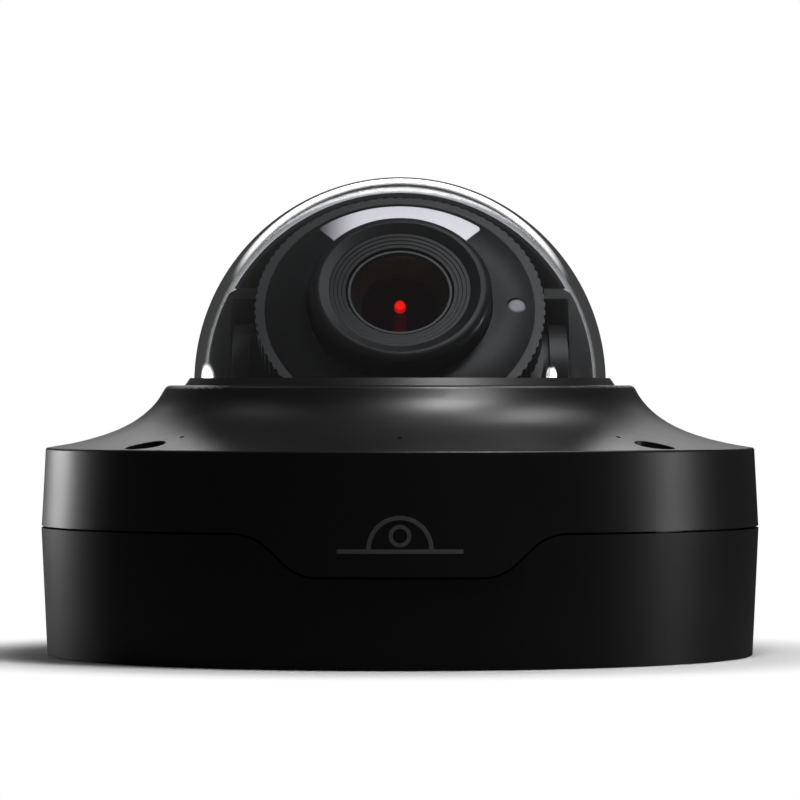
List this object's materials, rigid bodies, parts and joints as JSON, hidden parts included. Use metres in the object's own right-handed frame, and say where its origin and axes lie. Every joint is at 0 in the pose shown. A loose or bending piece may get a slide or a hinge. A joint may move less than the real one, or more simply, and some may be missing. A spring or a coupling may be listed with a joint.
{
  "type": "dome camera",
  "caption": "Surface-mount dome security camera: a clear hemispherical bubble on a flared round cover, over a pan, tilt and roll lens ball on a flat base.",
  "frame": {"origin": "centre of the face that goes against the ceiling or wall", "axes": "+Z out of the ceiling through the clear bubble; the lens looks towards -Y; +X to its right as seen by someone facing the lens"},
  "size_m": [0.1566, 0.157, 0.104],
  "materials": {
    "cover_paint": "cast aluminium with a satin black powder coat",
    "base_paint": "cast aluminium with a satin black powder coat",
    "clear_bubble": "clear moulded polycarbonate, hard coated",
    "trim_plastic": "black moulded plastic, satin",
    "black_rubber": "moulded black rubber",
    "zinc_plate": "zinc plated pressed steel",
    "screw_steel": "stainless steel",
    "black_screw": "blackened steel",
    "board_green": "glass-epoxy laminate with green solder mask",
    "board_black": "glass-epoxy laminate with black solder mask",
    "jack_metal": "tinned steel shell",
    "component_black": "moulded epoxy",
    "capacitor_can": "drawn aluminium can",
    "spreader_black": "black anodised aluminium",
    "card_plastic": "black moulded plastic",
    "button_plastic": "moulded nylon",
    "led_epoxy": "clear moulded epoxy",
    "pouch_paper": "spun-bonded pouch",
    "bearing_plastic": "acetal, turned",
    "yoke_plastic": "black moulded plastic, fine satin",
    "liner_plastic": "thin thermoformed sheet, very dark blue",
    "ball_plastic": "black moulded plastic, satin",
    "face_plastic": "black moulded plastic, semi-gloss",
    "window_frost": "frosted acrylic",
    "sensor_lens": "clear acrylic dome",
    "hood_metal": "turned aluminium, black anodised",
    "barrel_plastic": "glass-filled black plastic",
    "coated_glass": "ground optical glass, coated",
    "gear_plastic": "moulded acetal",
    "motor_can": "drawn steel can",
    "filter_plastic": "black frame with red-reflecting filter glass",
    "sensor_face": "silicon under cover glass"
  },
  "bodies": {
    "base": {"base_housing": "base_paint", "mounting_plate": "zinc_plate", "base_screws": "screw_steel", "cable_gland": "black_rubber", "cover_gasket": "black_rubber", "main_board": "board_green", "board_screws": "screw_steel", "network_jack": "jack_metal", "line_transformer": "component_black", "capacitors": "capacitor_can", "processor_chip": "component_black", "heat_spreader": "spreader_black", "card_socket": "jack_metal", "reset_switch": "component_black", "status_led": "led_epoxy", "desiccant_pack": "pouch_paper", "pan_bearing": "bearing_plastic", "pan_ring": "trim_plastic", "pan_ring_screws": "screw_steel"},
    "cover": {"top_cover": "cover_paint", "dome_bubble": "clear_bubble", "bubble_seal": "black_rubber", "bubble_trim": "trim_plastic", "bubble_retainer": "trim_plastic", "retainer_screws": "screw_steel", "cover_screws": "screw_steel", "microphones": "component_black"},
    "card": {"memory_card": "card_plastic"},
    "reset": {"reset_button": "button_plastic"},
    "pan": {"turntable": "yoke_plastic", "left_cheek": "yoke_plastic", "right_cheek": "yoke_plastic", "pivot_pins": "black_screw", "friction_washers": "bearing_plastic", "rear_liner": "liner_plastic"},
    "tilt": {"tilt_cradle": "ball_plastic"},
    "ball": {"front_shell": "face_plastic", "face_window": "window_frost", "light_sensor_lens": "sensor_lens", "grip_rim": "ball_plastic", "rear_shell": "ball_plastic", "lens_hood": "hood_metal", "lamp_board": "board_black", "infrared_lamps": "led_epoxy", "lens_barrel": "barrel_plastic", "front_glass": "coated_glass", "rear_glass": "coated_glass", "iris_plate": "hood_metal", "lens_block": "barrel_plastic", "image_sensor": "sensor_face", "sensor_board": "board_green", "zoom_motor": "motor_can", "focus_motor": "motor_can"},
    "filter": {"filter_slide": "filter_plastic"},
    "zoom_drive": {"zoom_ring": "gear_plastic"},
    "zoom_gear": {"zoom_pinion": "gear_plastic"},
    "focus_drive": {"focus_ring": "gear_plastic"},
    "focus_gear": {"focus_pinion": "gear_plastic"}
  },
  "joints": [
    {"name": "cover_lift", "type": "slide", "parent": "base", "child": "cover", "axis": [0, 0, 1], "range_m": [0, 0.08]},
    {"name": "card_slide", "type": "slide", "parent": "base", "child": "card", "axis": [0, 1, 0], "range_m": [0, 0.012]},
    {"name": "reset_press", "type": "slide", "parent": "base", "child": "reset", "axis": [0, 0, -1], "range_m": [0, 0.0004], "stiffness_N_per_m": 1500, "springref_m": -0.0002},
    {"name": "pan_turn", "type": "hinge", "parent": "base", "child": "pan", "pos_m": [0, 0, 0.059], "axis": [0, 0, 1], "range_deg": [-175, 175]},
    {"name": "tilt_turn", "type": "hinge", "parent": "pan", "child": "tilt", "pos_m": [0, 0, 0.059], "axis": [-1, 0, 0], "range_deg": [-34, 39]},
    {"name": "ball_roll", "type": "hinge", "parent": "tilt", "child": "ball", "pos_m": [0, 0, 0.059], "axis": [0, -0.809, 0.5878], "range_deg": [-170, 170]},
    {"name": "filter_shift", "type": "slide", "parent": "ball", "child": "filter", "axis": [-1, 0, 0], "range_m": [0, 0.01]},
    {"name": "zoom_turn", "type": "hinge", "parent": "ball", "child": "zoom_drive", "pos_m": [0, 0, 0.059], "axis": [0, -0.809, 0.5878], "range_deg": [-60, 60]},
    {"name": "zoom_pinion_turn", "type": "hinge", "parent": "ball", "child": "zoom_gear", "pos_m": [0.01157, -0.0081, 0.04784], "axis": [0, -0.809, 0.5878], "range_deg": [-215, 215]},
    {"name": "focus_turn", "type": "hinge", "parent": "ball", "child": "focus_drive", "pos_m": [0, 0, 0.059], "axis": [0, -0.809, 0.5878], "range_deg": [-60, 60]},
    {"name": "focus_pinion_turn", "type": "hinge", "parent": "ball", "child": "focus_gear", "pos_m": [-0.01157, -0.0081, 0.04784], "axis": [0, -0.809, 0.5878], "range_deg": [-215, 215]}
  ],
  "couplings": [
    {"joint": "zoom_pinion_turn", "follows": "zoom_turn", "ratio": -3.5},
    {"joint": "focus_pinion_turn", "follows": "focus_turn", "ratio": -3.5}
  ]
}
